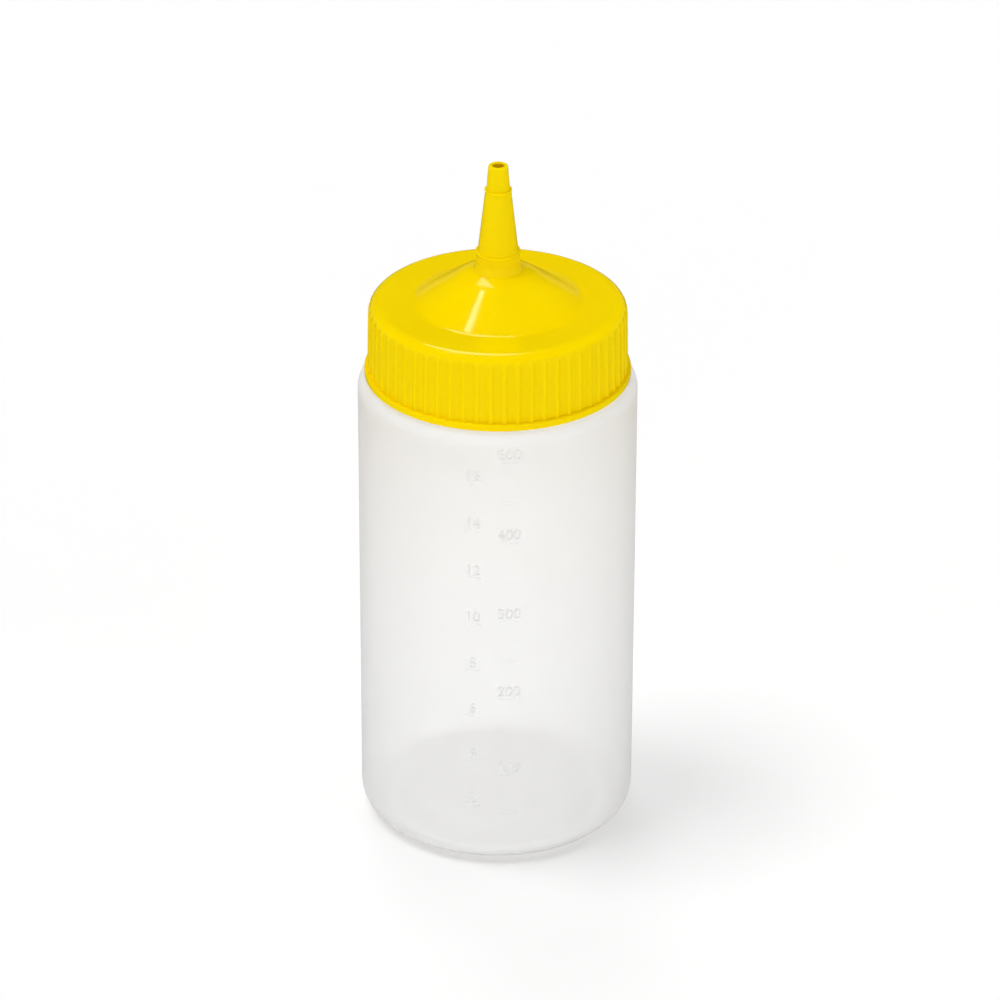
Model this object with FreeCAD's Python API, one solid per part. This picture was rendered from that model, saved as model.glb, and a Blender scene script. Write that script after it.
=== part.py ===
import FreeCAD, Part
import math
import os

# A condiment squeeze bottle in two pieces: a blow-moulded bottle with a wide threaded neck, and a
# one-piece moulded screw cap with a ribbed skirt, a low cone and a stepped nozzle. It stands empty.
# Millimetres, Z up. The origin is the centre of the circle that the bottle stands on.

# Bottle body
BODY_RADIUS = 37.5
SHOULDER_Z = 132.0
BODY_WALL = 1.0
HEEL_RADIUS = 7.0
SHOULDER_RADIUS = 4.0

# Push-up: the raised middle of the base, which leaves a flat foot ring to stand on
FOOT_WIDTH = 4.0
PUSH_UP_RISE = 6.0
PUSH_UP_RUN = 3.0
PUSH_UP_FILLET = 2.0
FOOT_FILLET = 1.6

# Neck finish
NECK_INSET = 6.5
NECK_HEIGHT = 19.9
NECK_WALL = 1.4
NECK_FILLET = 0.8
RIM_FILLET = 0.35

# Thread of neck and cap
THREAD_PITCH = 5.0
THREAD_TURNS = 1.25
THREAD_HEIGHT = 1.1
THREAD_ROOT_WIDTH = 2.4
THREAD_CREST_WIDTH = 1.0
THREAD_ROOTED = 0.3
THREAD_BELOW_RIM = 3.0
THREAD_START_DEG = 120.0
THREAD_RADIAL_CLEARANCE = 0.4
THREAD_AXIAL_CLEARANCE = 0.15

# Cap skirt
CAP_GAP = 0.4
SKIRT_WALL = 1.9
DRAFT_DEG = 1.0
RIB_COUNT = 60
RIB_HEIGHT = 0.5
RIB_WIDTH = 2.1
RIB_CREST_TRIM = 0.12
RIB_PHASE_DEG = 2.9
BEAD_HEIGHT = 1.9
BEAD_PROUD = 0.82
BEAD_FILLET = 0.45
LIP_FILLET = 0.3

# Cap top
TOP_WALL = 1.6
EDGE_RADIUS = 3.5
INNER_EDGE_RADIUS = 1.4
LAND_WIDTH = 8.6
CONE_FOOT_FILLET = 3.0
CROWN_RADIUS = 10.1
CROWN_RISE = 8.0
CROWN_FILLET = 9.0
UNDER_CONE_FILLET = 2.0

# Nozzle. Two ledges mark where the tip may be cut for a wider opening.
NOZZLE_RISE = 9.4
NOZZLE_BASE_RADIUS = 6.55
NOZZLE_FOOT_FILLET = 0.5
FLARE_RISE = 2.1
FLARE_RADIUS = 5.9
FLARE_FILLET = 5.0
LOWER_LEDGE_RISE = 5.3
LOWER_LEDGE_RADIUS = 5.8
MIDDLE_BASE_RADIUS = 5.4
UPPER_LEDGE_RISE = 23.1
UPPER_LEDGE_RADIUS = 3.45
TIP_BASE_RADIUS = 3.1
TIP_RISE = 29.9
TIP_RADIUS = 2.6
TIP_FILLET = 0.45
LEDGE_BEAD = 0.2
LEDGE_BEAD_HEIGHT = 0.6
BORE_BASE_RADIUS = 4.9
BORE_TIP_RADIUS = 1.5
BORE_TIP_FILLET = 0.25
BORE_FOOT_FILLET = 0.7

# Graduations: raised strokes in two columns, each a stroke for every so much of the bottle's content.
# Each column is (degrees from the front, content per stroke in cubic millimetres).
STROKE_HEIGHT = 0.2
STROKE_ROOTED = 0.3
STROKE_ROOT_WIDTH = 0.9
STROKE_CREST_WIDTH = 0.45
STROKE_LENGTH = 4.5
SCALE_ZERO_Z = 4.5
MILLILITRE_COLUMN = (5.0, 50000.0)
OUNCE_COLUMN = (-10.0, 59147.0)

# Worked out from the sizes above
NECK_RADIUS = BODY_RADIUS - NECK_INSET
RIM_Z = SHOULDER_Z + NECK_HEIGHT
SKIRT_INNER_RADIUS = NECK_RADIUS + THREAD_HEIGHT + THREAD_RADIAL_CLEARANCE
CAP_BOTTOM_Z = SHOULDER_Z + CAP_GAP
CAP_TOP_Z = RIM_Z + TOP_WALL
RIB_ROOT_RADIUS = SKIRT_INNER_RADIUS + SKIRT_WALL
SKIRT_RADIUS = RIB_ROOT_RADIUS + RIB_HEIGHT
UP = FreeCAD.Vector(0, 0, 1)


def rounded_wire(corners):
    """A closed outline in the XZ plane through (radius, z, fillet) corners, each rounded by its fillet."""
    points = [FreeCAD.Vector(r, 0, z) for r, z, _ in corners]
    starts, arcs, ends = [], [], []
    for i, (_, _, fillet) in enumerate(corners):
        corner = points[i]
        back = (points[i - 1] - corner).normalize()
        on = (points[(i + 1) % len(points)] - corner).normalize()
        if fillet == 0:
            starts.append(corner)
            arcs.append(None)
            ends.append(corner)
            continue
        half = back.getAngle(on) / 2
        starts.append(corner + back * (fillet / math.tan(half)))
        ends.append(corner + on * (fillet / math.tan(half)))
        middle = corner + (back + on).normalize() * (fillet / math.sin(half) - fillet)
        arcs.append(Part.Arc(starts[i], middle, ends[i]).toShape())
    edges = []
    for i, arc in enumerate(arcs):
        if arc:
            edges.append(arc)
        following = starts[(i + 1) % len(points)]
        if (following - ends[i]).Length > 1e-6:
            edges.append(Part.LineSegment(ends[i], following).toShape())
    return Part.Wire(edges)


def turned(corners):
    """The solid that an outline sweeps out about the Z axis."""
    return Part.Face(rounded_wire(corners)).revolve(FreeCAD.Vector(), UP, 360)


def trapezoid(root_radius, crest_radius, root_width, crest_width):
    """The closed section of a ridge in the XZ plane, which stands out from a wall along X."""
    corners = [
        FreeCAD.Vector(root_radius, 0, -root_width / 2),
        FreeCAD.Vector(crest_radius, 0, -crest_width / 2),
        FreeCAD.Vector(crest_radius, 0, crest_width / 2),
        FreeCAD.Vector(root_radius, 0, root_width / 2),
    ]
    return Part.makePolygon(corners + corners[:1])


def thread(root_radius, crest_radius, low_z):
    """A helical ridge of trapezoid section. Its lower end's centre line is at low_z, at the start angle."""
    rooted = root_radius + math.copysign(THREAD_ROOTED, root_radius - crest_radius)
    section = trapezoid(rooted, crest_radius, THREAD_ROOT_WIDTH, THREAD_CREST_WIDTH)
    path = Part.Wire(Part.makeHelix(THREAD_PITCH, THREAD_PITCH * THREAD_TURNS, root_radius).Edges)
    ridge = Part.Solid(path.makePipeShell([section], True, True))
    return ridge.rotated(FreeCAD.Vector(), UP, THREAD_START_DEG).translated(UP * low_z)


def push_up_corners(inset):
    """The base from the axis out to the foot ring, inset by a wall on the inside of the bottle."""
    foot_radius = BODY_RADIUS - HEEL_RADIUS - FOOT_WIDTH
    shift = inset * math.tan(math.atan2(PUSH_UP_RISE, PUSH_UP_RUN) / 2)
    return [
        (0, PUSH_UP_RISE + inset, 0),
        (foot_radius - PUSH_UP_RUN + shift, PUSH_UP_RISE + inset, PUSH_UP_FILLET + inset),
        (foot_radius + shift, inset, FOOT_FILLET - inset),
    ]


def body_corners(inset, neck_inset):
    """One side of the bottle's wall, from the axis at the base to the rim."""
    return push_up_corners(inset) + [
        (BODY_RADIUS - inset, inset, HEEL_RADIUS - inset),
        (BODY_RADIUS - inset, SHOULDER_Z - inset, SHOULDER_RADIUS - inset),
        (NECK_RADIUS - neck_inset, SHOULDER_Z - inset, NECK_FILLET + inset),
        (NECK_RADIUS - neck_inset, RIM_Z, RIM_FILLET),
    ]


def graduations():
    """The raised strokes of both columns, up the straight wall, each a piece of ring that follows it."""
    root = BODY_RADIUS - STROKE_ROOTED
    crest = BODY_RADIUS + STROKE_HEIGHT
    section = Part.Face(trapezoid(root, crest, STROKE_ROOT_WIDTH, STROKE_CREST_WIDTH))
    spread_deg = math.degrees(STROKE_LENGTH / BODY_RADIUS)
    stroke = section.revolve(FreeCAD.Vector(), UP, spread_deg)
    inside_area = math.pi * (BODY_RADIUS - BODY_WALL) ** 2
    strokes = []
    for middle_deg, content in (MILLILITRE_COLUMN, OUNCE_COLUMN):
        step_z = content / inside_area
        count = math.floor((SHOULDER_Z - SHOULDER_RADIUS - SCALE_ZERO_Z) / step_z)
        for i in range(1, count + 1):
            raised = stroke.translated(UP * (SCALE_ZERO_Z + i * step_z))
            strokes.append(raised.rotated(FreeCAD.Vector(), UP, middle_deg - 90 - spread_deg / 2))
    return strokes


def bottle():
    outside = body_corners(0, 0)
    inside = body_corners(BODY_WALL, NECK_WALL)
    shell = turned(outside + inside[::-1])
    low_z = RIM_Z - THREAD_BELOW_RIM - THREAD_PITCH * THREAD_TURNS
    ridge = thread(NECK_RADIUS, NECK_RADIUS + THREAD_HEIGHT, low_z)
    return shell.fuse([ridge] + graduations()).removeSplitter()


def skirt_radius_at(z):
    """The skirt's outside over the ribs, which leans in by the mould's draft."""
    return SKIRT_RADIUS - (z - CAP_BOTTOM_Z) * math.tan(math.radians(DRAFT_DEG))


def flute_outline(z):
    """A closed outline round the skirt at one height: low round ribs with plain valleys between them."""
    crest = skirt_radius_at(z) + RIB_CREST_TRIM
    valley = skirt_radius_at(z) - RIB_HEIGHT
    half_deg = math.degrees(RIB_WIDTH / 2 / SKIRT_RADIUS)
    pitch_deg = 360 / RIB_COUNT

    def at(radius, degrees):
        turn = math.radians(degrees + RIB_PHASE_DEG - 90)
        return FreeCAD.Vector(radius * math.cos(turn), radius * math.sin(turn), z)

    edges = []
    for i in range(RIB_COUNT):
        deg = i * pitch_deg
        left, right = at(valley, deg - half_deg), at(valley, deg + half_deg)
        following = at(valley, deg + pitch_deg - half_deg)
        edges.append(Part.Arc(left, at(crest, deg), right).toShape())
        edges.append(Part.Arc(right, at(valley, deg + pitch_deg / 2), following).toShape())
    return Part.Wire(edges)


def flute_cutter():
    """What is cut away between the ribs, from the bead up into the rounded top edge."""
    low_z = CAP_BOTTOM_Z + BEAD_HEIGHT
    ribbed = Part.makeLoft([flute_outline(low_z), flute_outline(CAP_TOP_Z)], True, True)
    reach = SKIRT_RADIUS + 2 * BEAD_PROUD
    blank = Part.makeCylinder(reach, CAP_TOP_Z - low_z, FreeCAD.Vector(0, 0, low_z))
    return blank.cut(ribbed)


def ledge_corners(radius, z, next_radius):
    """The end of one nozzle section: a fine bead, then a flat ledge in to the next section."""
    return [
        (radius, z - LEDGE_BEAD_HEIGHT, 0),
        (radius + LEDGE_BEAD, z - LEDGE_BEAD_HEIGHT / 2, LEDGE_BEAD / 2),
        (radius + LEDGE_BEAD, z, LEDGE_BEAD / 2),
        (next_radius, z, 0),
    ]


def cap():
    edge_radius = skirt_radius_at(CAP_TOP_Z)
    cone_radius = edge_radius - EDGE_RADIUS - LAND_WIDTH
    crown_z = CAP_TOP_Z + CROWN_RISE
    nozzle_z = CAP_TOP_Z + NOZZLE_RISE
    # The cone rises to a rounded crown, and a flatter shoulder goes on to the nozzle. The inside follows
    # both slopes, a wall's thickness below.
    cone_slope = math.atan2(CROWN_RISE, cone_radius - CROWN_RADIUS)
    crown_slope = math.atan2(nozzle_z - crown_z, CROWN_RADIUS - NOZZLE_BASE_RADIUS)
    middle_slope = (cone_slope + crown_slope) / 2
    under_radius = cone_radius - TOP_WALL * math.tan(cone_slope / 2)
    inner_crown_radius = CROWN_RADIUS - TOP_WALL * math.sin(middle_slope)
    inner_crown_z = crown_z - TOP_WALL * math.cos(middle_slope)
    bore_z = inner_crown_z + (inner_crown_radius - BORE_BASE_RADIUS) * math.tan(crown_slope)
    bead_radius = SKIRT_RADIUS + BEAD_PROUD
    bead_z = CAP_BOTTOM_Z + BEAD_HEIGHT
    outside = [
        (SKIRT_INNER_RADIUS, CAP_BOTTOM_Z, LIP_FILLET),
        (bead_radius, CAP_BOTTOM_Z, BEAD_FILLET),
        (bead_radius, bead_z, BEAD_FILLET),
        (skirt_radius_at(bead_z), bead_z, 0),
        (edge_radius, CAP_TOP_Z, EDGE_RADIUS),
        (cone_radius, CAP_TOP_Z, CONE_FOOT_FILLET),
        (CROWN_RADIUS, crown_z, CROWN_FILLET),
        (NOZZLE_BASE_RADIUS, nozzle_z, NOZZLE_FOOT_FILLET),
        (FLARE_RADIUS, nozzle_z + FLARE_RISE, FLARE_FILLET),
        *ledge_corners(LOWER_LEDGE_RADIUS, nozzle_z + LOWER_LEDGE_RISE, MIDDLE_BASE_RADIUS),
        *ledge_corners(UPPER_LEDGE_RADIUS, nozzle_z + UPPER_LEDGE_RISE, TIP_BASE_RADIUS),
        (TIP_RADIUS, nozzle_z + TIP_RISE, TIP_FILLET),
    ]
    inside = [
        (BORE_TIP_RADIUS, nozzle_z + TIP_RISE, BORE_TIP_FILLET),
        (BORE_BASE_RADIUS, bore_z, BORE_FOOT_FILLET),
        (inner_crown_radius, inner_crown_z, CROWN_FILLET - TOP_WALL),
        (under_radius, RIM_Z, UNDER_CONE_FILLET),
        (SKIRT_INNER_RADIUS, RIM_Z, INNER_EDGE_RADIUS),
    ]
    plain = turned(outside + inside).cut(flute_cutter())
    flank_gap = (THREAD_ROOT_WIDTH + THREAD_CREST_WIDTH) / 2 + THREAD_AXIAL_CLEARANCE
    low_z = RIM_Z - THREAD_BELOW_RIM - THREAD_PITCH * THREAD_TURNS - flank_gap
    ridge = thread(SKIRT_INNER_RADIUS, SKIRT_INNER_RADIUS - THREAD_HEIGHT, low_z)
    return plain.fuse(ridge).removeSplitter()


os.makedirs("parts", exist_ok=True)
for node, shape in (("bottle", bottle()), ("cap", cap())):
    shape.exportStep("parts/%s.step" % node)
    print(node, "solids", len(shape.Solids), "valid", shape.isValid(), "volume %.0f mm3" % shape.Volume)
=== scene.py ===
import math

import bmesh
import bpy
from mathutils import Matrix, Vector


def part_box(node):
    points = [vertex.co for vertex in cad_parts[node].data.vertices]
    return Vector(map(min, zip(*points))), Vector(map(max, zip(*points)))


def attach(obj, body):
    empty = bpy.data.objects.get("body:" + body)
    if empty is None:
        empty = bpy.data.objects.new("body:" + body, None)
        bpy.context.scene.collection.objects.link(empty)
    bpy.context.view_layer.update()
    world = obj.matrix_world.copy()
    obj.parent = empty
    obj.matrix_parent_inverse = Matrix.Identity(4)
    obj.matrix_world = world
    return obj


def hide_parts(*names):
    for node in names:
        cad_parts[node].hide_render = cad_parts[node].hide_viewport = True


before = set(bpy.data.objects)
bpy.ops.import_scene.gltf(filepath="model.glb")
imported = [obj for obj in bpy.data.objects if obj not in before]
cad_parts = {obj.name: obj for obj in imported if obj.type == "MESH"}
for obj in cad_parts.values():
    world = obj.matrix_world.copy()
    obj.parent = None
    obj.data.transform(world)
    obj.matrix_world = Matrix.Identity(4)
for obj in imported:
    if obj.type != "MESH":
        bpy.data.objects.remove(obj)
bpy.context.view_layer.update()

# A condiment squeeze bottle: a milky blow-moulded bottle with raised graduations and plain numbers, and
# a yellow injection-moulded screw cap with a ribbed skirt and a stepped nozzle. It stands empty.
# Sizes are in millimetres and become metres where a mesh is made. Z is up, and the front faces -Y.
MM = 0.001

# Overall sizes, from the frame
BODY_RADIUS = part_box("bottle")[1].x / MM
RIM_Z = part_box("bottle")[1].z / MM
CAP_BOTTOM_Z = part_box("cap")[0].z / MM
TIP_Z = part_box("cap")[1].z / MM

# Bottle
BODY_WALL = 1.0
HEEL_RADIUS = 7.0
SHOULDER_RADIUS = 4.0
FOOT_WIDTH = 4.0
PUSH_UP_RISE = 6.0
PUSH_UP_RUN = 3.0
PUSH_UP_FILLET = 2.0
FOOT_FILLET = 1.6
NECK_INSET = 6.5
NECK_WALL = 1.4
NECK_FILLET = 0.8
RIM_FILLET = 0.35
CAP_GAP = 0.4
SHOULDER_Z = CAP_BOTTOM_Z - CAP_GAP
NECK_RADIUS = BODY_RADIUS - NECK_INSET

# Thread of neck and cap
THREAD_PITCH = 5.0
THREAD_TURNS = 1.25
THREAD_HEIGHT = 1.1
THREAD_ROOT_WIDTH = 2.4
THREAD_CREST_WIDTH = 1.0
THREAD_BELOW_RIM = 3.0
THREAD_START_DEG = 120.0
THREAD_RADIAL_CLEARANCE = 0.4
THREAD_AXIAL_CLEARANCE = 0.15
THREAD_LOW_Z = RIM_Z - THREAD_BELOW_RIM - THREAD_PITCH * THREAD_TURNS

# Cap skirt
SKIRT_WALL = 1.9
DRAFT_DEG = 1.0
RIB_COUNT = 60
RIB_HEIGHT = 0.5
RIB_WIDTH = 2.1
RIB_CREST_TRIM = 0.12
RIB_PHASE_DEG = 2.9
BEAD_HEIGHT = 1.9
BEAD_PROUD = 0.82
BEAD_FILLET = 0.45
LIP_FILLET = 0.3
SKIRT_INNER_RADIUS = NECK_RADIUS + THREAD_HEIGHT + THREAD_RADIAL_CLEARANCE
SKIRT_RADIUS = SKIRT_INNER_RADIUS + SKIRT_WALL + RIB_HEIGHT

# Cap top and nozzle
TOP_WALL = 1.6
EDGE_RADIUS = 3.5
INNER_EDGE_RADIUS = 1.4
LAND_WIDTH = 8.6
CONE_FOOT_FILLET = 3.0
CROWN_RADIUS = 10.1
CROWN_RISE = 8.0
CROWN_FILLET = 9.0
UNDER_CONE_FILLET = 2.0
NOZZLE_RISE = 9.4
NOZZLE_BASE_RADIUS = 6.55
NOZZLE_FOOT_FILLET = 0.5
FLARE_RISE = 2.1
FLARE_RADIUS = 5.9
FLARE_FILLET = 5.0
LOWER_LEDGE_RISE = 5.3
LOWER_LEDGE_RADIUS = 5.8
MIDDLE_BASE_RADIUS = 5.4
UPPER_LEDGE_RISE = 23.1
UPPER_LEDGE_RADIUS = 3.45
TIP_BASE_RADIUS = 3.1
TIP_RADIUS = 2.6
TIP_FILLET = 0.45
LEDGE_BEAD = 0.2
LEDGE_BEAD_HEIGHT = 0.6
BORE_BASE_RADIUS = 4.9
BORE_TIP_RADIUS = 1.5
BORE_TIP_FILLET = 0.25
BORE_FOOT_FILLET = 0.7
CAP_TOP_Z = RIM_Z + TOP_WALL

# Graduations: each column is (degrees from the front, content per stroke in cubic millimetres, what a
# stroke counts, strokes per number)
RELIEF_ROOTED = 0.3
STROKE_HEIGHT = 0.2
STROKE_ROOT_WIDTH = 0.9
STROKE_CREST_WIDTH = 0.45
STROKE_LENGTH = 4.5
SCALE_ZERO_Z = 4.5
MILLILITRE_COLUMN = (5.0, 50000.0, 50, 2)
OUNCE_COLUMN = (-10.0, 59147.0, 2, 1)
NUMBER_HEIGHT = 3.1
NUMBER_ABOVE_STROKE = 1.1

# Finishes: how far apart their marks lie, how high those stand, and how far light reaches into the cap
CLOUD_SPACING = 22.0
RIPPLE_SPACING = 9.0
RIPPLE_HEIGHT = 0.3
FLOW_SPACING = 14.0
GRAIN_SPACING = 1.5
GRAIN_HEIGHT = 0.03
LIGHT_REACH = 1.5

# How finely round shapes are divided
FILLET_STEP_DEG = 9.0
BOTTLE_COLUMNS = 360
RIB_COLUMNS = 6
VALLEY_COLUMNS = 2
THREAD_POINTS_PER_TURN = 96
STROKE_POINTS_PER_TURN = 512
SHARP_DEG = 32.0

# A font's size over the height of its digits
FONT_SIZE_PER_HEIGHT = 1.38

# How far from the end of a straight run its shading is held flat
HOLD = 0.35

# A step too fine to see, which tells the skirt's foot from the top of the bead
BEAD_STEP = 0.01


def add(tree, kind, settings=(), inputs=()):
    """Adds a node to a tree, with its settings, and its inputs as values or links by name or number."""
    node = tree.nodes.new(kind)
    for name, value in dict(settings).items():
        setattr(node, name, value)
    for key, value in dict(inputs).items():
        if isinstance(value, bpy.types.Node):
            value = value.outputs[0]
        if isinstance(value, bpy.types.NodeSocket):
            tree.links.new(value, node.inputs[key])
        else:
            node.inputs[key].default_value = value
    return node


def linear(hex_colour):
    """An sRGB hex colour as the linear colour that a shader takes."""
    channels = [int(hex_colour[i:i + 2], 16) / 255 for i in (1, 3, 5)]
    return [c / 12.92 if c <= 0.04045 else ((c + 0.055) / 1.055) ** 2.4 for c in channels] + [1.0]


# ---------------------------------------------------------------- materials

def new_material(name):
    material = bpy.data.materials.new(name)
    material.use_nodes = True
    material.node_tree.nodes.clear()
    return material


def natural_polyethylene():
    """Low-density polyethylene with no dye, blow-moulded: milky, with a soft gloss. Its wall spreads most
    of the light that comes through it, so the far side and the base show only as faint shades. The
    cloudiness of a whole wall is drawn where light enters it, and the face where it leaves is clear."""
    material = new_material("natural_polyethylene_blow_moulded")
    tree = material.node_tree
    place = add(tree, "ShaderNodeTexCoord").outputs["Object"]
    cloud = add(tree, "ShaderNodeTexNoise", inputs={
        "Vector": place, "Scale": 1 / (CLOUD_SPACING * MM), "Detail": 2.0})
    ripple = add(tree, "ShaderNodeTexNoise", inputs={
        "Vector": place, "Scale": 1 / (RIPPLE_SPACING * MM), "Detail": 1.0})
    bump = add(tree, "ShaderNodeBump", inputs={
        "Strength": 0.12, "Distance": RIPPLE_HEIGHT * MM, "Height": ripple})
    # Towards the outline the wall is looked at along its length, so it is not seen through there. Its colour
    # is also darkened there, from white to pale grey: a painted shade at the outline.
    edge = add(tree, "ShaderNodeLayerWeight", inputs={"Blend": 0.5}).outputs["Facing"]
    tone_with_painted_outline_shade = add(tree, "ShaderNodeMix", {"data_type": "RGBA"},
               {0: edge, 6: linear("#FFFFFF"), 7: linear("#EEEEEE")})
    body = add(tree, "ShaderNodeBsdfPrincipled", inputs={
        "Base Color": tone_with_painted_outline_shade.outputs[2], "Roughness": 0.35, "IOR": 1.51,
        "Specular IOR Level": 0.35, "Normal": bump})
    glow = add(tree, "ShaderNodeBsdfTranslucent", inputs={"Color": tone_with_painted_outline_shade.outputs[2], "Normal": bump})
    milky = add(tree, "ShaderNodeMixShader", inputs={0: 0.5, 1: body, 2: glow})
    clear = add(tree, "ShaderNodeBsdfTransparent", inputs={"Color": linear("#FEFEFE")})
    share = add(tree, "ShaderNodeMapRange", inputs={"Value": cloud, "To Min": 0.40, "To Max": 0.46})
    head_on = add(tree, "ShaderNodeMath", {"operation": "SUBTRACT"}, {0: 1.0, 1: edge})
    seen_through = add(tree, "ShaderNodeMath", {"operation": "MULTIPLY"}, {0: share, 1: head_on})
    entering = add(tree, "ShaderNodeMixShader", inputs={0: seen_through, 1: milky, 2: clear})
    leaving = add(tree, "ShaderNodeNewGeometry").outputs["Backfacing"]
    wall = add(tree, "ShaderNodeMixShader", inputs={0: leaving, 1: entering, 2: clear})
    add(tree, "ShaderNodeOutputMaterial", inputs={"Surface": wall})
    return material


def yellow_polyethylene():
    """Polyethylene dyed a full yellow and injection-moulded in a polished tool: an even colour with a
    clear, slightly soft gloss. A little light goes into it and comes out close by, so its thin edges and
    its hollows stay a warm yellow."""
    material = new_material("yellow_polyethylene_injection_moulded")
    tree = material.node_tree
    place = add(tree, "ShaderNodeTexCoord").outputs["Object"]
    flow = add(tree, "ShaderNodeTexNoise", inputs={
        "Vector": place, "Scale": 1 / (FLOW_SPACING * MM), "Detail": 2.0})
    dye = add(tree, "ShaderNodeMix", {"data_type": "RGBA"},
              {0: flow, 6: linear("#FFDD00"), 7: linear("#FFDB00")})
    grain = add(tree, "ShaderNodeTexNoise", inputs={
        "Vector": place, "Scale": 1 / (GRAIN_SPACING * MM), "Detail": 2.0})
    bump = add(tree, "ShaderNodeBump", inputs={
        "Strength": 0.03, "Distance": GRAIN_HEIGHT * MM, "Height": grain})
    surface = add(tree, "ShaderNodeBsdfPrincipled", inputs={
        "Base Color": dye.outputs[2], "Roughness": 0.1, "IOR": 1.51,
        "Subsurface Weight": 0.4, "Subsurface Radius": (1.0, 0.8, 0.1), "Subsurface Scale": LIGHT_REACH * MM,
        "Specular IOR Level": 0.35, "Normal": bump})
    add(tree, "ShaderNodeOutputMaterial", inputs={"Surface": surface})
    return material


# ---------------------------------------------------------------- shapes

def rounded(corners, closed):
    """The (radius, z) points of an outline through (radius, z, fillet) corners, each corner rounded."""
    points = []
    for i, (radius, z, fillet) in enumerate(corners):
        corner = Vector((radius, z))
        at_end = not closed and i in (0, len(corners) - 1)
        if fillet == 0 or at_end:
            points.append(corner)
            continue
        back = (Vector(corners[i - 1][:2]) - corner).normalized()
        on = (Vector(corners[(i + 1) % len(corners)][:2]) - corner).normalized()
        half = back.angle(on) / 2
        centre = corner + (back + on).normalized() * (fillet / math.sin(half))
        start = corner + back * (fillet / math.tan(half)) - centre
        turn = (corner + on * (fillet / math.tan(half)) - centre).angle_signed(start)
        steps = max(2, math.ceil(math.degrees(abs(turn)) / FILLET_STEP_DEG))
        for k in range(steps + 1):
            points.append(centre + Matrix.Rotation(turn * k / steps, 2) @ start)
    if closed:
        points.append(points[0])
    return with_held_runs(points)


def with_held_runs(points):
    """An outline with a further point near each end of its straight runs, which keeps their shading flat."""
    held = points[:1]
    for before, after in zip(points, points[1:]):
        run = after - before
        if run.length > 3 * HOLD:
            held += [before + run.normalized() * HOLD, after - run.normalized() * HOLD]
        held.append(after)
    return held


def outline_mesh(points):
    """A mesh that holds an outline's points, in order, in the XZ plane."""
    mesh = bpy.data.meshes.new("outline")
    mesh.from_pydata([(p.x * MM, 0, p.y * MM) for p in points], [], [])
    return mesh


def new_tree(name, inputs):
    """A Geometry Nodes tree with named inputs, its input node and its output node."""
    tree = bpy.data.node_groups.new(name, "GeometryNodeTree")
    tree.interface.new_socket("Geometry", in_out="OUTPUT", socket_type="NodeSocketGeometry")
    for label, kind in inputs:
        tree.interface.new_socket(label, in_out="INPUT", socket_type="NodeSocket" + kind)
    return tree, add(tree, "NodeGroupInput").outputs


def finish_tree(tree, geometry, material):
    """Ends a tree: its instances are made real, its faces smooth, and they take the material."""
    real = add(tree, "GeometryNodeRealizeInstances", inputs={0: geometry})
    smooth = add(tree, "GeometryNodeSetShadeSmooth", inputs={0: real})
    coated = add(tree, "GeometryNodeSetMaterial", inputs={"Geometry": smooth, "Material": material})
    add(tree, "NodeGroupOutput", inputs={0: coated})


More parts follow.
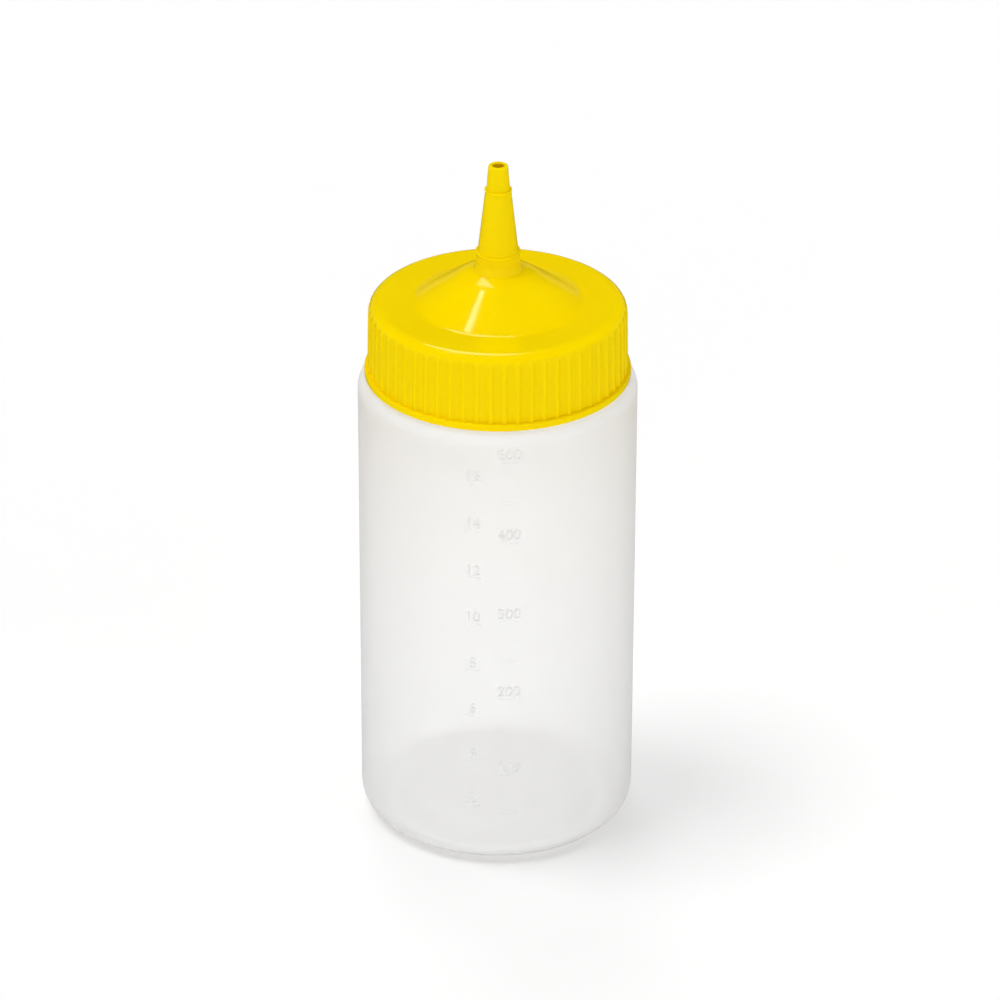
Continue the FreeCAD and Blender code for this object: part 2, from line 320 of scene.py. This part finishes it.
def turning_tree():
    """Turns an outline about Z into a closed wall. Above a height, ribs with plain valleys between them
    are cut into it, which follow the skirt as it leans in."""
    tree, given = new_tree("turning", [
        ("Outline", "Geometry"), ("Ribs", "Int"), ("Rib Columns", "Int"), ("Valley Columns", "Int"),
        ("Rib Share", "Float"), ("Phase", "Float"), ("Ribbed Above", "Float"), ("Skirt Radius", "Float"),
        ("Skirt Foot", "Float"), ("Draft", "Float"), ("Rib Height", "Float"), ("Crest Trim", "Float"),
        ("Material", "Material")])
    # A flat grid: one row for each point of the outline, and one column for each direction
    rows = add(tree, "GeometryNodeAttributeDomainSize", inputs={0: given["Outline"]})
    per_rib = add(tree, "ShaderNodeMath", {"operation": "ADD"},
                  {0: given["Rib Columns"], 1: given["Valley Columns"]})
    columns = add(tree, "ShaderNodeMath", {"operation": "MULTIPLY_ADD"},
                  {0: per_rib, 1: given["Ribs"], 2: 1.0})
    grid = add(tree, "GeometryNodeMeshGrid", inputs={
        "Size X": 1.0, "Size Y": 1.0, "Vertices X": columns, "Vertices Y": rows})
    spot = add(tree, "ShaderNodeSeparateXYZ", inputs={0: add(tree, "GeometryNodeInputPosition")})

    # The outline's point for this row
    last_row = add(tree, "ShaderNodeMath", {"operation": "SUBTRACT"}, {0: rows, 1: 1.0})
    row_share = add(tree, "ShaderNodeMath", {"operation": "ADD"}, {0: spot.outputs["Y"], 1: 0.5})
    row = add(tree, "ShaderNodeMath", {"operation": "MULTIPLY"}, {0: row_share, 1: last_row})
    whole_row = add(tree, "ShaderNodeMath", {"operation": "ROUND"}, {0: row})
    outline_point = add(tree, "GeometryNodeSampleIndex", {"data_type": "FLOAT_VECTOR"}, {
        0: given["Outline"], "Value": add(tree, "GeometryNodeInputPosition"), "Index": whole_row})
    here = add(tree, "ShaderNodeSeparateXYZ", inputs={0: outline_point})

    # How far round its rib's pitch this column is. Ribs and valleys have whole columns of their own.
    column_share = add(tree, "ShaderNodeMath", {"operation": "ADD"}, {0: spot.outputs["X"], 1: 0.5})
    ribs_on = add(tree, "ShaderNodeMath", {"operation": "MULTIPLY"}, {0: column_share, 1: given["Ribs"]})
    rib = add(tree, "ShaderNodeMath", {"operation": "FLOOR"}, {0: ribs_on})
    part = add(tree, "ShaderNodeMath", {"operation": "FRACT"}, {0: ribs_on})
    knee = add(tree, "ShaderNodeMath", {"operation": "DIVIDE"}, {0: given["Rib Columns"], 1: per_rib})
    valley_share = add(tree, "ShaderNodeMath", {"operation": "SUBTRACT"}, {0: 1.0, 1: given["Rib Share"]})
    on_rib = add(tree, "ShaderNodeMapRange", inputs={
        "Value": part, "From Max": knee, "To Max": given["Rib Share"]})
    in_valley = add(tree, "ShaderNodeMapRange", inputs={
        "Value": part, "From Min": knee, "To Max": valley_share})
    across = add(tree, "ShaderNodeMath", {"operation": "ADD"}, {0: on_rib, 1: in_valley})

    # The ribs' outline: a round crest on each rib that runs out softly into the plain valley
    share_on = add(tree, "ShaderNodeMath", {"operation": "DIVIDE"}, {0: across, 1: given["Rib Share"]})
    from_crest = add(tree, "ShaderNodeMath", {"operation": "MULTIPLY_ADD"}, {0: share_on, 1: 2.0, 2: -1.0})
    on_crest = add(tree, "ShaderNodeMath", {"operation": "MINIMUM"}, {0: from_crest, 1: 1.0})
    turn = add(tree, "ShaderNodeMath", {"operation": "MULTIPLY"}, {0: on_crest, 1: math.pi})
    wave = add(tree, "ShaderNodeMath", {"operation": "COSINE"}, {0: turn})
    rise = add(tree, "ShaderNodeMath", {"operation": "MULTIPLY_ADD"}, {0: wave, 1: 0.5, 2: 0.5})
    full_rise = add(tree, "ShaderNodeMath", {"operation": "ADD"},
                    {0: given["Rib Height"], 1: given["Crest Trim"]})
    above_foot = add(tree, "ShaderNodeMath", {"operation": "SUBTRACT"},
                     {0: here.outputs["Z"], 1: given["Skirt Foot"]})
    lean = add(tree, "ShaderNodeMath", {"operation": "MULTIPLY"}, {0: above_foot, 1: given["Draft"]})
    skirt = add(tree, "ShaderNodeMath", {"operation": "SUBTRACT"}, {0: given["Skirt Radius"], 1: lean})
    valley = add(tree, "ShaderNodeMath", {"operation": "SUBTRACT"}, {0: skirt, 1: given["Rib Height"]})
    ribbed = add(tree, "ShaderNodeMath", {"operation": "MULTIPLY_ADD"}, {0: rise, 1: full_rise, 2: valley})
    cut = add(tree, "ShaderNodeMath", {"operation": "MINIMUM"}, {0: here.outputs["X"], 1: ribbed})
    high = add(tree, "ShaderNodeMath", {"operation": "GREATER_THAN"},
               {0: here.outputs["Z"], 1: given["Ribbed Above"]})
    radius = add(tree, "ShaderNodeMix", {"data_type": "FLOAT"}, {0: high, 2: here.outputs["X"], 3: cut})

    # The grid is bent round the axis, and its seam and its poles are closed
    half_rib = add(tree, "ShaderNodeMath", {"operation": "MULTIPLY_ADD"},
                   {0: given["Rib Share"], 1: -0.5, 2: across})
    pitches = add(tree, "ShaderNodeMath", {"operation": "ADD"}, {0: rib, 1: half_rib})
    pitch = add(tree, "ShaderNodeMath", {"operation": "DIVIDE"}, {0: math.tau, 1: given["Ribs"]})
    angle = add(tree, "ShaderNodeMath", {"operation": "MULTIPLY_ADD"},
                {0: pitches, 1: pitch, 2: given["Phase"]})
    flat_spot = add(tree, "ShaderNodeCombineXYZ", inputs={"X": radius, "Z": here.outputs["Z"]})
    turned = add(tree, "ShaderNodeVectorRotate", {"rotation_type": "Z_AXIS"},
                 {"Vector": flat_spot, "Angle": angle})
    bent = add(tree, "GeometryNodeSetPosition", inputs={"Geometry": grid, "Position": turned})
    closed = add(tree, "GeometryNodeMergeByDistance", inputs={"Geometry": bent, "Distance": 0.001 * MM})
    finish_tree(tree, closed, given["Material"])
    return tree


def ridge_tree():
    """A ridge of trapezoid section that follows a wall round Z, level or as a screw, and its repeats."""
    tree, given = new_tree("ridges", [
        ("Geometry", "Geometry"), ("Radius", "Float"), ("Turns", "Float"), ("Climb", "Float"),
        ("Points per Turn", "Int"), ("Root Width", "Float"), ("Crest Width", "Float"),
        ("Height", "Float"), ("Facing", "Float"), ("Start", "Float"), ("Low Z", "Float"),
        ("Count", "Int"), ("Step", "Float"), ("Material", "Material")])
    path = add(tree, "GeometryNodeCurveSpiral", inputs={
        "Resolution": given["Points per Turn"], "Rotations": given["Turns"],
        "Start Radius": given["Radius"], "End Radius": given["Radius"], "Height": given["Climb"],
        "Reverse": True})
    upright = add(tree, "GeometryNodeSetCurveNormal", {"mode": "Z_UP"}, {0: path})
    section = add(tree, "GeometryNodeCurvePrimitiveQuadrilateral", {"mode": "TRAPEZOID"}, {
        "Bottom Width": given["Root Width"], "Top Width": given["Crest Width"],
        "Height": given["Height"], "Offset": 0.0})
    # A path that turns left as it climbs has its own X axis pointing out, so a ridge that faces out
    # stands along X
    quarter = add(tree, "ShaderNodeMath", {"operation": "MULTIPLY"}, {0: given["Facing"], 1: -math.pi / 2})
    half_height = add(tree, "ShaderNodeMath", {"operation": "MULTIPLY"}, {0: given["Height"], 1: 0.5})
    shift = add(tree, "ShaderNodeMath", {"operation": "MULTIPLY"}, {0: half_height, 1: given["Facing"]})
    laid = add(tree, "GeometryNodeTransform", inputs={
        "Geometry": section,
        "Translation": add(tree, "ShaderNodeCombineXYZ", inputs={"X": shift}),
        "Rotation": add(tree, "ShaderNodeCombineXYZ", inputs={"Z": quarter})})
    ridge = add(tree, "GeometryNodeCurveToMesh", inputs={
        "Curve": upright, "Profile Curve": laid, "Fill Caps": True})
    placed = add(tree, "GeometryNodeTransform", inputs={
        "Geometry": ridge,
        "Translation": add(tree, "ShaderNodeCombineXYZ", inputs={"Z": given["Low Z"]}),
        "Rotation": add(tree, "ShaderNodeCombineXYZ", inputs={"Z": given["Start"]})})
    places = add(tree, "GeometryNodeMeshLine", inputs={
        "Count": given["Count"], "Offset": add(tree, "ShaderNodeCombineXYZ", inputs={"Z": given["Step"]})})
    copies = add(tree, "GeometryNodeInstanceOnPoints", inputs={"Points": places, "Instance": placed})
    finish_tree(tree, copies, given["Material"])
    return tree


def made_by(tree, name, mesh, sizes):
    """Runs a tree on a mesh and returns the plain object that it makes."""
    piece = bpy.data.objects.new(name, mesh)
    bpy.context.scene.collection.objects.link(piece)
    modifier = piece.modifiers.new(tree.name, "NODES")
    modifier.node_group = tree
    for socket in tree.interface.items_tree:
        if socket.in_out == "INPUT" and socket.name in sizes:
            modifier[socket.identifier] = sizes[socket.name]
    return flattened(piece)


def flattened(piece):
    """Turns what a piece's modifiers make into its plain mesh."""
    graph = bpy.context.evaluated_depsgraph_get()
    plain = bpy.data.meshes.new_from_object(piece.evaluated_get(graph))
    piece.modifiers.clear()
    piece.data = plain
    return piece


def closed_outward(mesh):
    """Merges a mesh's doubled points and points its faces outward."""
    work = bmesh.new()
    work.from_mesh(mesh)
    bmesh.ops.remove_doubles(work, verts=work.verts, dist=0.0005 * MM)
    bmesh.ops.recalc_face_normals(work, faces=work.faces)
    work.to_mesh(mesh)
    work.free()


def joined(name, pieces):
    """One object of several pieces' meshes. The pieces themselves go."""
    work = bmesh.new()
    for piece in pieces:
        work.from_mesh(piece.data)
        bpy.data.objects.remove(piece)
    mesh = bpy.data.meshes.new(name)
    work.to_mesh(mesh)
    work.free()
    whole = bpy.data.objects.new(name, mesh)
    bpy.context.scene.collection.objects.link(whole)
    return whole


def fused(wall, ridges):
    """One closed mesh of a wall and the ridges that stand on it. The ridges' own object goes."""
    union = wall.modifiers.new("union", "BOOLEAN")
    union.operation = "UNION"
    union.solver = "MANIFOLD"
    union.object = ridges
    flattened(wall)
    bpy.data.objects.remove(ridges)
    return wall


# ---------------------------------------------------------------- bottle

def push_up_corners(inset):
    """The base from the axis out to the foot ring, inset by the wall on the inside of the bottle."""
    foot_radius = BODY_RADIUS - HEEL_RADIUS - FOOT_WIDTH
    shift = inset * math.tan(math.atan2(PUSH_UP_RISE, PUSH_UP_RUN) / 2)
    return [
        (0, PUSH_UP_RISE + inset, 0),
        (foot_radius - PUSH_UP_RUN + shift, PUSH_UP_RISE + inset, PUSH_UP_FILLET + inset),
        (foot_radius + shift, inset, FOOT_FILLET - inset),
    ]


def body_corners(inset, neck_inset):
    """One side of the bottle's wall, from the axis at the base to the rim."""
    return push_up_corners(inset) + [
        (BODY_RADIUS - inset, inset, HEEL_RADIUS - inset),
        (BODY_RADIUS - inset, SHOULDER_Z - inset, SHOULDER_RADIUS - inset),
        (NECK_RADIUS - neck_inset, SHOULDER_Z - inset, NECK_FILLET + inset),
        (NECK_RADIUS - neck_inset, RIM_Z, RIM_FILLET),
    ]


def scale_marks(column):
    """Each stroke of a column as (height, number or None). Strokes are even steps of content apart."""
    _, content, step_value, strokes_per_number = column
    step_z = content / (math.pi * (BODY_RADIUS - BODY_WALL) ** 2)
    count = math.floor((SHOULDER_Z - SHOULDER_RADIUS - SCALE_ZERO_Z) / step_z)
    marks = []
    for i in range(1, count + 1):
        number = i * step_value if i % strokes_per_number == 0 else None
        marks.append((SCALE_ZERO_Z + i * step_z, number))
    return marks


def strokes(column, tree, material):
    """A column's raised strokes, each a short ridge that follows the wall."""
    marks = scale_marks(column)
    spread = STROKE_LENGTH / BODY_RADIUS
    grown = 1 + RELIEF_ROOTED / STROKE_HEIGHT
    return made_by(tree, "strokes", bpy.data.meshes.new("strokes"), {
        "Radius": (BODY_RADIUS - RELIEF_ROOTED) * MM, "Turns": spread / math.tau, "Climb": 0.0,
        "Points per Turn": STROKE_POINTS_PER_TURN,
        "Root Width": STROKE_ROOT_WIDTH * MM, "Crest Width": STROKE_CREST_WIDTH * MM,
        "Height": STROKE_HEIGHT * grown * MM, "Facing": 1.0,
        "Start": math.radians(column[0] - 90) - spread / 2, "Low Z": marks[0][0] * MM,
        "Count": len(marks), "Step": (marks[1][0] - marks[0][0]) * MM, "Material": material})


def number_relief(value, column, z, material):
    """A plain raised number, wrapped round the wall above its stroke."""
    font = bpy.data.curves.new("number", "FONT")
    font.body = str(value)
    font.size = NUMBER_HEIGHT * FONT_SIZE_PER_HEIGHT * MM
    font.align_x = "CENTER"
    font.extrude = (RELIEF_ROOTED + STROKE_HEIGHT) / 2 * MM
    font.resolution_u = 3
    text = bpy.data.objects.new("number", font)
    bpy.context.scene.collection.objects.link(text)
    graph = bpy.context.evaluated_depsgraph_get()
    mesh = bpy.data.meshes.new_from_object(text.evaluated_get(graph))
    bpy.data.objects.remove(text)
    middle_radius = (BODY_RADIUS + (STROKE_HEIGHT - RELIEF_ROOTED) / 2) * MM
    for vertex in mesh.vertices:
        x, y, depth = vertex.co
        turn = math.radians(column[0] - 90) + x / (BODY_RADIUS * MM)
        radius = middle_radius + depth
        height = (z + NUMBER_ABOVE_STROKE) * MM + y
        vertex.co = (radius * math.cos(turn), radius * math.sin(turn), height)
    mesh.materials.clear()
    mesh.materials.append(material)
    relief = bpy.data.objects.new("number", mesh)
    bpy.context.scene.collection.objects.link(relief)
    return relief


def thread(tree, root_radius, facing, low_z, material):
    """The screw thread on the neck, which faces out, or in the cap, which faces in."""
    return made_by(tree, "thread", bpy.data.meshes.new("thread"), {
        "Radius": (root_radius - facing * RELIEF_ROOTED) * MM, "Turns": THREAD_TURNS,
        "Climb": THREAD_PITCH * THREAD_TURNS * MM, "Points per Turn": THREAD_POINTS_PER_TURN,
        "Root Width": THREAD_ROOT_WIDTH * MM, "Crest Width": THREAD_CREST_WIDTH * MM,
        "Height": (THREAD_HEIGHT + RELIEF_ROOTED) * MM, "Facing": facing,
        "Start": math.radians(THREAD_START_DEG), "Low Z": low_z * MM, "Count": 1, "Step": 0.0,
        "Material": material})


def bottle(turning, ridges, material):
    """The whole bottle: its wall, with the neck's thread, the strokes and the numbers fused on."""
    outside = rounded(body_corners(0, 0), False)
    inside = rounded(body_corners(BODY_WALL, NECK_WALL), False)
    # The wall is plain: its ribs have no height, and only share out the columns evenly
    wall = made_by(turning, "bottle_shell", outline_mesh(outside + inside[::-1]), {
        "Ribs": BOTTLE_COLUMNS // 4, "Rib Columns": 2, "Valley Columns": 2, "Rib Share": 0.5, "Phase": 0.0,
        "Ribbed Above": 1.0, "Skirt Radius": 1.0, "Skirt Foot": 0.0, "Draft": 0.0, "Rib Height": 0.0,
        "Crest Trim": 0.0, "Material": material})
    reliefs = [thread(ridges, NECK_RADIUS, 1.0, THREAD_LOW_Z, material)]
    for column in (MILLILITRE_COLUMN, OUNCE_COLUMN):
        reliefs.append(strokes(column, ridges, material))
        for z, number in scale_marks(column):
            if number:
                reliefs.append(number_relief(number, column, z, material))
    for relief in reliefs:
        closed_outward(relief.data)
    closed_outward(wall.data)
    shell = fused(wall, joined("reliefs", reliefs))
    shell.data.shade_smooth()
    shell.data.set_sharp_from_angle(angle=math.radians(SHARP_DEG))
    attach(shell, "root")
    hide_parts("bottle")


# ---------------------------------------------------------------- cap

def skirt_radius_at(z):
    """The skirt's outside over the ribs, which leans in by the mould's draft."""
    return SKIRT_RADIUS - (z - CAP_BOTTOM_Z) * math.tan(math.radians(DRAFT_DEG))


def ledge_corners(radius, z, next_radius):
    """The end of one nozzle section: a fine bead, then a flat ledge in to the next section."""
    return [
        (radius, z - LEDGE_BEAD_HEIGHT, 0),
        (radius + LEDGE_BEAD, z - LEDGE_BEAD_HEIGHT / 2, LEDGE_BEAD / 2),
        (radius + LEDGE_BEAD, z, LEDGE_BEAD / 2),
        (next_radius, z, 0),
    ]


def cap_corners():
    """The cap's section, closed: up the outside from the skirt's lip to the tip, and down the inside."""
    edge_radius = skirt_radius_at(CAP_TOP_Z)
    cone_radius = edge_radius - EDGE_RADIUS - LAND_WIDTH
    crown_z = CAP_TOP_Z + CROWN_RISE
    nozzle_z = CAP_TOP_Z + NOZZLE_RISE
    # The cone rises to a rounded crown, and a flatter shoulder goes on to the nozzle. The inside follows
    # both slopes, a wall's thickness below.
    cone_slope = math.atan2(CROWN_RISE, cone_radius - CROWN_RADIUS)
    crown_slope = math.atan2(nozzle_z - crown_z, CROWN_RADIUS - NOZZLE_BASE_RADIUS)
    middle_slope = (cone_slope + crown_slope) / 2
    under_radius = cone_radius - TOP_WALL * math.tan(cone_slope / 2)
    inner_crown_radius = CROWN_RADIUS - TOP_WALL * math.sin(middle_slope)
    inner_crown_z = crown_z - TOP_WALL * math.cos(middle_slope)
    bore_z = inner_crown_z + (inner_crown_radius - BORE_BASE_RADIUS) * math.tan(crown_slope)
    bead_radius = SKIRT_RADIUS + BEAD_PROUD
    bead_z = CAP_BOTTOM_Z + BEAD_HEIGHT
    return [
        (SKIRT_INNER_RADIUS, CAP_BOTTOM_Z, LIP_FILLET),
        (bead_radius, CAP_BOTTOM_Z, BEAD_FILLET),
        (bead_radius, bead_z, BEAD_FILLET),
        (skirt_radius_at(bead_z), bead_z + 2 * BEAD_STEP, 0),
        (edge_radius, CAP_TOP_Z, EDGE_RADIUS),
        (cone_radius, CAP_TOP_Z, CONE_FOOT_FILLET),
        (CROWN_RADIUS, crown_z, CROWN_FILLET),
        (NOZZLE_BASE_RADIUS, nozzle_z, NOZZLE_FOOT_FILLET),
        (FLARE_RADIUS, nozzle_z + FLARE_RISE, FLARE_FILLET),
        *ledge_corners(LOWER_LEDGE_RADIUS, nozzle_z + LOWER_LEDGE_RISE, MIDDLE_BASE_RADIUS),
        *ledge_corners(UPPER_LEDGE_RADIUS, nozzle_z + UPPER_LEDGE_RISE, TIP_BASE_RADIUS),
        (TIP_RADIUS, TIP_Z, TIP_FILLET),
        (BORE_TIP_RADIUS, TIP_Z, BORE_TIP_FILLET),
        (BORE_BASE_RADIUS, bore_z, BORE_FOOT_FILLET),
        (inner_crown_radius, inner_crown_z, CROWN_FILLET - TOP_WALL),
        (under_radius, RIM_Z, UNDER_CONE_FILLET),
        (SKIRT_INNER_RADIUS, RIM_Z, INNER_EDGE_RADIUS),
    ]


def cap(turning, ridges, material):
    """The whole cap: its ribbed wall, cone and nozzle, with its own thread fused on inside."""
    rib_share = math.degrees(RIB_WIDTH / SKIRT_RADIUS) / (360 / RIB_COUNT)
    wall = made_by(turning, "cap_shell", outline_mesh(rounded(cap_corners(), True)), {
        "Ribs": RIB_COUNT, "Rib Columns": RIB_COLUMNS, "Valley Columns": VALLEY_COLUMNS,
        "Rib Share": rib_share, "Phase": math.radians(RIB_PHASE_DEG - 90),
        "Ribbed Above": (CAP_BOTTOM_Z + BEAD_HEIGHT + BEAD_STEP) * MM,
        "Skirt Radius": SKIRT_RADIUS * MM, "Skirt Foot": CAP_BOTTOM_Z * MM,
        "Draft": math.tan(math.radians(DRAFT_DEG)), "Rib Height": RIB_HEIGHT * MM,
        "Crest Trim": RIB_CREST_TRIM * MM, "Material": material})
    flank_gap = (THREAD_ROOT_WIDTH + THREAD_CREST_WIDTH) / 2 + THREAD_AXIAL_CLEARANCE
    screw = thread(ridges, SKIRT_INNER_RADIUS, -1.0, THREAD_LOW_Z - flank_gap, material)
    closed_outward(screw.data)
    closed_outward(wall.data)
    shell = fused(wall, screw)
    shell.data.shade_smooth()
    shell.data.set_sharp_from_angle(angle=math.radians(SHARP_DEG))
    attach(shell, "root")
    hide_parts("cap")


# ---------------------------------------------------------------- stage

CAMERA_TARGET = Vector((0, 0, 105 * MM))
CAMERA_DISTANCE = 1.425
CAMERA_LENS = 189.92
CAMERA_SENSOR = 36.0
CAMERA_PITCH_DEG = 27.756
FRAMING_DOWN_DEG = 0.420
FRAMING_RIGHT_DEG = 0.0325
CAMERA_ROLL_DEG = 0.170


def place_camera():
    pitch = math.radians(CAMERA_PITCH_DEG)
    data = bpy.data.cameras.new("camera")
    data.lens = CAMERA_LENS
    data.sensor_width = CAMERA_SENSOR
    camera = bpy.data.objects.new("camera", data)
    bpy.context.scene.collection.objects.link(camera)
    turn = (Matrix.Rotation(math.radians(-FRAMING_RIGHT_DEG), 4, "Z")
            @ Matrix.Rotation(math.pi / 2 - pitch - math.radians(FRAMING_DOWN_DEG), 4, "X")
            @ Matrix.Rotation(math.radians(CAMERA_ROLL_DEG), 4, "Z"))
    back = Vector((0, -math.cos(pitch), math.sin(pitch)))
    camera.matrix_world = Matrix.Translation(CAMERA_TARGET + back * CAMERA_DISTANCE) @ turn
    bpy.context.scene.camera = camera


# Each lamp is (name, degrees round from the front to the right, degrees above the floor, width in degrees,
# strength). The soft lamps don't show in the gloss. The other two do, and are its highlights.
SOFT_LAMPS = (
    ("softbox_left", 275.0, 70.0, 28.0, 1.20),
    ("softbox_overhead", 100.0, 80.0, 34.0, 0.64),
    ("sweep_behind", 180.0, 9.0, 35.0, 0.50),
    ("sweep_behind_right", 135.0, 10.0, 35.0, 0.40),
    ("sweep_behind_left", 225.0, 9.0, 35.0, 0.20),
    ("sweep_front", 356.0, 10.0, 40.0, 0.55),
    ("fill_front_left", 315.0, 28.0, 40.0, 0.27),
    ("fill_front_right", 45.0, 26.0, 45.0, 0.42),
    ("fill_right", 115.0, 25.0, 45.0, 0.18),
)
GLOSS_LAMPS = (
    ("spot_left", 254.8, 70.5, 6.5, 0.07),
    ("softbox_behind", 194.0, 62.0, 24.0, 0.46),
)

# The light of the sweep round the object, by how high a direction points (0 level, 1 straight up): it is
# even up to the first height and has changed at the second, from the third number to the fourth
SOFT_SWEEP = (0.20, 0.30, 1.2, 0.0)
GLOSS_SWEEP = (0.12, 0.20, 0.12, 0.01)

FLOOR_LIFT = 0.16
FLOOR_REACH = 20.0


def place_lamps():
    for shows_in_gloss, lamps in ((False, SOFT_LAMPS), (True, GLOSS_LAMPS)):
        for name, round_deg, above_deg, width_deg, strength in lamps:
            light = bpy.data.lights.new(name, "SUN")
            light.angle = math.radians(width_deg)
            light.energy = strength
            lamp = bpy.data.objects.new(name, light)
            lamp.rotation_euler = (math.radians(90 - above_deg), 0, math.radians(round_deg))
            lamp.visible_glossy = shows_in_gloss
            bpy.context.scene.collection.objects.link(lamp)


def sweep_light(tree, up, heights):
    even_to, changed_at, below, above = heights
    return add(tree, "ShaderNodeMapRange", inputs={
        "Value": up, "From Min": even_to, "From Max": changed_at, "To Min": below, "To Max": above})


def studio_world():
    """A white sweep low down on every side, dimmer in the gloss, and a dark ceiling. The camera sees it
    as white all over."""
    world = bpy.data.worlds.new("studio")
    bpy.context.scene.world = world
    world.use_nodes = True
    tree = world.node_tree
    tree.nodes.clear()
    ray = add(tree, "ShaderNodeLightPath")
    place = add(tree, "ShaderNodeTexCoord").outputs["Generated"]
    up = add(tree, "ShaderNodeSeparateXYZ", inputs={0: place}).outputs["Z"]
    soft = sweep_light(tree, up, SOFT_SWEEP)
    in_gloss = sweep_light(tree, up, GLOSS_SWEEP)
    lit = add(tree, "ShaderNodeMix", {"data_type": "FLOAT"},
              {0: ray.outputs["Is Glossy Ray"], 2: soft, 3: in_gloss})
    white = add(tree, "ShaderNodeMix", {"data_type": "FLOAT"},
                {0: ray.outputs["Is Camera Ray"], 2: lit, 3: 1.0})
    sky = add(tree, "ShaderNodeBackground", inputs={"Color": linear("#FFFFFF"), "Strength": white})
    add(tree, "ShaderNodeOutputWorld", inputs={0: sky})


def floor():
    """A plain pale floor, lifted to white, which keeps the bottle's shadow. It is dim in the gloss."""
    material = new_material("studio_floor_white_paper")
    tree = material.node_tree
    ray = add(tree, "ShaderNodeLightPath")
    paper = add(tree, "ShaderNodeBsdfDiffuse", inputs={"Color": linear("#ECECEC")})
    lift = add(tree, "ShaderNodeEmission", inputs={"Strength": FLOOR_LIFT})
    lit = add(tree, "ShaderNodeAddShader", inputs={0: paper, 1: lift})
    dim = add(tree, "ShaderNodeBsdfDiffuse", inputs={"Color": linear("#303030")})
    seen = add(tree, "ShaderNodeMixShader", inputs={0: ray.outputs["Is Glossy Ray"], 1: lit, 2: dim})
    add(tree, "ShaderNodeOutputMaterial", inputs={0: seen})
    mesh = bpy.data.meshes.new("floor")
    work = bmesh.new()
    bmesh.ops.create_grid(work, x_segments=1, y_segments=1, size=FLOOR_REACH)
    work.to_mesh(mesh)
    work.free()
    mesh.materials.append(material)
    plane = bpy.data.objects.new("floor", mesh)
    bpy.context.scene.collection.objects.link(plane)


bpy.context.scene.view_settings.view_transform = "Standard"
turning = turning_tree()
ridges = ridge_tree()
bottle(turning, ridges, natural_polyethylene())
cap(turning, ridges, yellow_polyethylene())
floor()
studio_world()
place_lamps()
place_camera()
